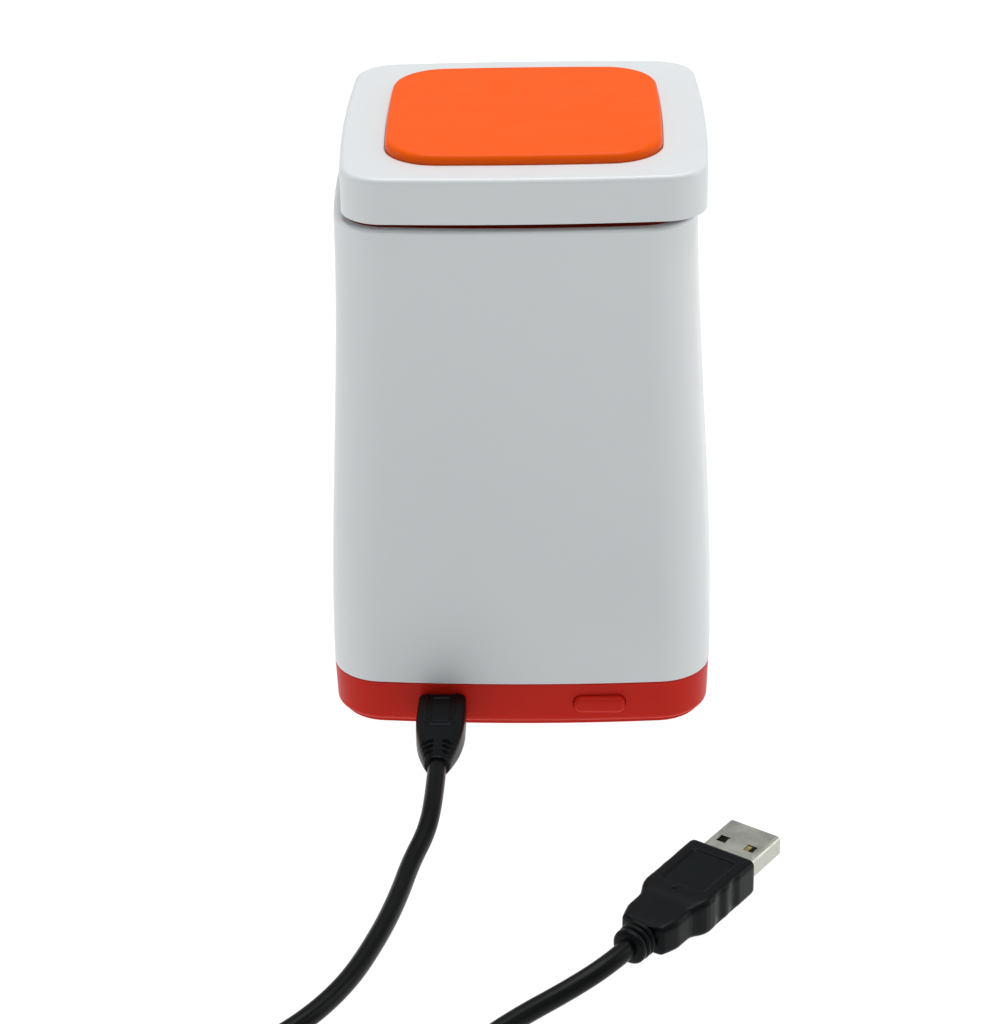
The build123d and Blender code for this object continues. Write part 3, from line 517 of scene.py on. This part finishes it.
# Inside the sheath lies a black moulded tongue with four plated contacts.
tongue_plastic = moulded("black_tongue_plastic", (0.012, 0.012, 0.013), 0.5)
dress("usb_a_insert", tongue_plastic)
contact_brass = new_material("plated_contact_brass", (0.86, 0.66, 0.32), 0.25, metallic=1.0)
gloss(contact_brass, cloud(contact_brass, 0.001), 0.2, 0.35)
tone(contact_brass, cloud(contact_brass, 0.003), (0.80, 0.60, 0.28), (0.90, 0.70, 0.36))
dress("usb_a_contacts", contact_brass)

# ---------------------------------------------------------------------- coil tie
# A strap of woven hook-and-loop tape, 8 mm wide, wrapped once round the coil and pressed down on itself.
tie_angle = math.radians(-70.0)
tie_half_width = 4.0
tie_thick = 0.5
tie_edge = 0.1                   # the strap is that much thinner at its edges
tie_edge_from = 0.94             # share of its half width where that starts
tie_gap = 0.05                   # under each layer
tie_middle = ((max(coil_radii) + min(coil_radii)) / 2, (coil_low + coil_high) / 2)
tie_half = (max(coil_radii) - tie_middle[0] + cord_thick / 2, coil_high - tie_middle[1] + cord_thick / 2)
tie_corner = 1.5
strap_share = 0.995              # how far round the coil the strap goes
overlap_start = 0.06             # where its free end lies over it, as shares of the way round
overlap_end = 0.42


def place_tie(radial, along, up):
    """Put a point of the strap, given from the middle of the coil's section, where the strap is."""
    reach = tie_middle[0] + radial
    return (
        (coil_centre[0] + reach * math.cos(tie_angle) - along * math.sin(tie_angle)) * mm,
        (coil_centre[1] + reach * math.sin(tie_angle) + along * math.cos(tie_angle)) * mm,
        (tie_middle[1] + up) * mm,
    )


def tie_layer(inner, outer, first, last):
    """One stretch of the strap, from one share of the way round the coil to another."""
    profile = (
        (-1, inner), (-1, outer - tie_edge), (-tie_edge_from, outer),
        (tie_edge_from, outer), (1, outer - tie_edge), (1, inner),
    )
    around = section_ring(*tie_half, tie_corner, wide_steps=24, high_steps=16, arc_steps=10)
    count = len(around)
    strip = []
    for i in range(round(first * count), round(last * count) + 1):
        radial, up, out_x, out_z = around[i % count]
        edge = []
        for along, lift in profile:
            edge.append(place_tie(radial + lift * out_x, along * tie_half_width, up + lift * out_z))
        strip.append(edge)
    return strip


tie_skin = bmesh.new()
skinned(tie_skin, tie_layer(tie_gap, tie_thick, 0.0, strap_share))
skinned(tie_skin, tie_layer(tie_thick + tie_gap, 2 * tie_thick, overlap_start, overlap_end))
tie_weave = new_material("woven_tie_tape", (0.012, 0.012, 0.014), 0.85)
shader_of(tie_weave).inputs["Sheen Weight"].default_value = 0.3
weave = cloud(tie_weave, 0.0005, detail=2.0, stretch=(1, 1, 2))
tone(tie_weave, weave, (0.006, 0.006, 0.007), (0.028, 0.028, 0.032))
grain(tie_weave, weave, 0.00012)
coil_tie = make_piece("coil_tie_strap", tie_skin, tie_weave)
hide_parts("coil_tie")

# ---------------------------------------------------------------------- case shell
# The tall tapering shell is one white ABS moulding with a fine satin texture from its tool.  It drops
# over the tray's lip and four screws from below pull it down.
white_abs = moulded(
    "white_satin_abs", (0.702, 0.732, 0.742), 0.34, drift=0.004, texture=0.003, depth=0.000002,
)
dress("body_shell", white_abs)

# ---------------------------------------------------------------------- base tray
# The base is a shallow orange-red ABS tray with a slot for the small plug, a hole for the button, air
# slots at the back, and screw towers and ribs inside.
tray_abs = moulded(
    "orange_red_abs", (0.56, 0.018, 0.009), 0.36, drift=0.02, texture=0.0025, depth=0.000002, level=0.1,
)
dress("base_tray", tray_abs)

# ---------------------------------------------------------------------- button
# The button is moulded in the same orange-red ABS.  Its rounded cap stands proud of the tray, a flange
# behind keeps it in its hole, and a stem behind that reaches the push switch.
button_low, button_high = (Vector(corner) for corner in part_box("button_cap"))
button_centre = (button_low + button_high) / 2
button_depth = (button_high.y - button_low.y) / mm
cap_size = (5.60, 1.85, 1.66)    # half width, half height, corner
flange_size = (6.50, 2.75, 1.20)
stem_size = (1.60, 1.00, 0.05)
flange_front = 3.38              # behind the front of the button's box
flange_back = 4.18
button_rings = [                 # distance behind the front of its box, half width, half height, corner
    (-0.85, 4.60, 0.90, 0.85), (-0.80, 4.92, 1.18, 1.10), (-0.62, 5.26, 1.52, 1.36),
    (-0.34, 5.50, 1.75, 1.56), (0.0, *cap_size), (flange_front, *cap_size),
    (flange_front, *flange_size), (flange_back, *flange_size),
    (flange_back, *stem_size), (button_depth, *stem_size),
]
button_skin = skinned(bmesh.new(), [
    [
        (button_centre.x + across * mm, button_low.y + behind * mm, button_centre.z + up * mm)
        for across, up, _, _ in section_ring(*sizes, wide_steps=6, high_steps=3)
    ]
    for behind, *sizes in button_rings
])
press_button = make_piece("press_button", button_skin, tray_abs, body="button")
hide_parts("button_cap")

# ---------------------------------------------------------------------- feet and case screws
# Four round rubber feet are glued in shallow recesses under the tray.  Four zinc-plated screws stand up
# through the tray's towers and the deck into posts in the case's corners.
foot_rubber = moulded("foot_rubber", (0.018, 0.018, 0.018), 0.8, drift=0.2, texture=0.0003, depth=0.00003)
dress("rubber_feet", foot_rubber)
zinc_steel = new_material("zinc_plated_steel", (0.58, 0.59, 0.60), 0.3, metallic=1.0)
tone(zinc_steel, cloud(zinc_steel, 0.0015), (0.50, 0.51, 0.53), (0.64, 0.65, 0.66))
gloss(zinc_steel, cloud(zinc_steel, 0.0008), 0.29, 0.42)
dress("case_screws", zinc_steel)

# ---------------------------------------------------------------------- lid
# The cap is white ABS like the case.  An orange pad is let into its top and drawn down by four screws
# through a white liner plate, with a soft silicone ring round the liner that sits on the bucket.
dress("lid_shell", white_abs)
dress("lid_liner", white_abs)
dress("lid_screws", zinc_steel)
pad_plastic = moulded(
    "orange_pad_plastic", (0.88, 0.102, 0.001), 0.33, drift=0.01, texture=0.003, depth=0.0000012, level=0.1,
)
dress("lid_pad", pad_plastic)
seal_silicone = moulded("milky_silicone", (0.60, 0.60, 0.57), 0.5, drift=0.03, texture=0.001, depth=0.00001)
shader_of(seal_silicone).inputs["Subsurface Weight"].default_value = 0.15
dress("lid_seal", seal_silicone)

# ---------------------------------------------------------------------- bucket
# The bucket that holds the waste is an orange polypropylene moulding.  Its flange hangs on the case's
# ledge with a collar above it, and its front and back walls have seven air slots each under the flange.
# The bucket's orange is set darker than its own colour, as painted shade for the gap under the lid where the
# bucket shows.
bucket_orange_darkened_as_gap_shade = moulded(
    "orange_polypropylene_darkened_as_gap_shade", (0.46, 0.040, 0.012), 0.40,
    drift=0.03, texture=0.0025, depth=0.000005, level=0.15,
)
dress("bin_bucket", bucket_orange_darkened_as_gap_shade)

# ---------------------------------------------------------------------- deck, grille and filter
# A grey ABS deck closes the base and carries the filter: a square of black carbon foam in a black frame,
# under a slotted grey grille.
grey_abs = moulded("grey_abs", (0.27, 0.28, 0.29), 0.42, drift=0.02)
dress("deck_plate", grey_abs)
dress("filter_grille", grey_abs)
glass_filled = moulded(
    "black_glass_filled", (0.016, 0.016, 0.018), 0.46, drift=0.25, texture=0.0002, depth=0.00001,
)
dress("filter_frame", glass_filled)
carbon_foam = new_material("carbon_foam", (0.012, 0.012, 0.012), 0.95)
cells_per_metre = 900
cells = carbon_foam.node_tree.nodes.new("ShaderNodeTexVoronoi")
cells.inputs["Scale"].default_value = cells_per_metre
lay_out(carbon_foam, cells)
tone(carbon_foam, cells, (0.003, 0.003, 0.003), (0.03, 0.03, 0.03), low=0.1, outlet="Distance")
grain(carbon_foam, cells, 0.0006, outlet="Distance")
dress("filter_foam", carbon_foam)

# ---------------------------------------------------------------------- fan
# A 40 mm fan with a black glass-filled frame and rotor lies under the deck.  Four screws go down through
# the deck and the fan's corners into posts on the tray.
dress("fan_frame", glass_filled)
dress("fan_rotor", glass_filled)
dress("fan_screws", zinc_steel)

# ---------------------------------------------------------------------- board
# The board is green glass-epoxy laminate under solder mask, with pale copper runs showing through, and
# black epoxy chips, cream nylon wire sockets, a metal power socket and a push switch soldered on.
laminate = new_material("green_laminate", (0.012, 0.11, 0.045), 0.35)
runs_scale = 260                 # makes a run about 2 mm long
runs = laminate.node_tree.nodes.new("ShaderNodeTexBrick")
runs.inputs["Scale"].default_value = runs_scale
runs.inputs["Mortar Size"].default_value = 0.05
runs.inputs["Color1"].default_value = (0.010, 0.095, 0.038, 1)
runs.inputs["Color2"].default_value = (0.013, 0.115, 0.047, 1)
runs.inputs["Mortar"].default_value = (0.03, 0.2, 0.08, 1)
lay_out(laminate, runs)
wire(laminate, runs, "Color", shader_of(laminate), "Base Color")
grain(laminate, runs, 0.00002)
dress("main_board", laminate)
dress("board_screws", zinc_steel)
chip_epoxy = moulded("chip_epoxy", (0.016, 0.016, 0.017), 0.55, texture=0.00015)
for name in ("board_chips", "usb_socket_tongue", "tact_switch", "switch_plunger"):
    dress(name, chip_epoxy)
cream_nylon = moulded("cream_nylon", (0.76, 0.72, 0.60), 0.45)
dress("wire_sockets", cream_nylon)
dress("usb_socket", sheet_nickel)

# ---------------------------------------------------------------------- battery and wires
# A flat pouch cell in grey-blue foil lies on foam tape between ribs.  Pairs of red silicone wires join
# it and the fan to the board.
cell_foil = new_material("grey_blue_foil", (0.34, 0.38, 0.43), 0.3, metallic=0.7)
creases = cloud(cell_foil, 0.006, detail=5.0)
tone(cell_foil, creases, (0.28, 0.32, 0.37), (0.40, 0.44, 0.49))
grain(cell_foil, creases, 0.0002)
dress("battery_cell", cell_foil)
foam_tape = moulded("black_foam_tape", (0.02, 0.02, 0.02), 0.9, texture=0.0005, depth=0.0001)
dress("battery_pad", foam_tape)
wire_silicone = moulded("red_wire_silicone", (0.42, 0.012, 0.010), 0.4)
dress("battery_lead", wire_silicone)
dress("fan_lead", wire_silicone)
